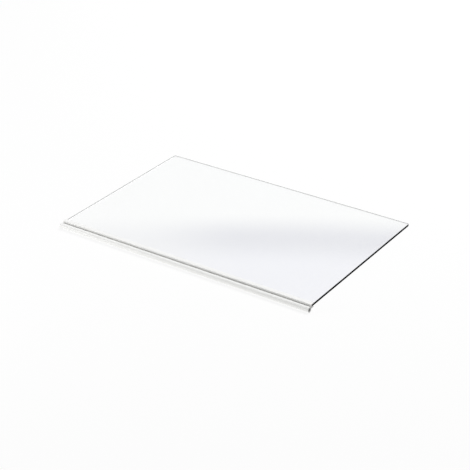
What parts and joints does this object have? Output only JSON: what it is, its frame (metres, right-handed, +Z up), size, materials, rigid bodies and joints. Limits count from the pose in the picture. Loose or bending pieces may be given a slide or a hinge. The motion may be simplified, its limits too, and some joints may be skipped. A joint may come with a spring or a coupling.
{
  "type": "fridge crisper cover",
  "caption": "Flat rectangular glass cover for a fridge's crisper drawer, with a hollow round-nosed plastic trim gripping its front edge.",
  "frame": {"origin": "under the middle of the whole cover, level with the lowest line of the trim's nose", "axes": "+X along the trim, front edge and trim towards -Y, +Z up through the glass"},
  "size_m": [0.4708, 0.316, 0.0114],
  "materials": {
    "glass": "clear toughened float glass, fine-ground edges",
    "trim_plastic": "satin white extruded plastic"
  },
  "bodies": {
    "root": {"glass_panel": "glass", "front_trim": "trim_plastic"}
  },
  "joints": []
}
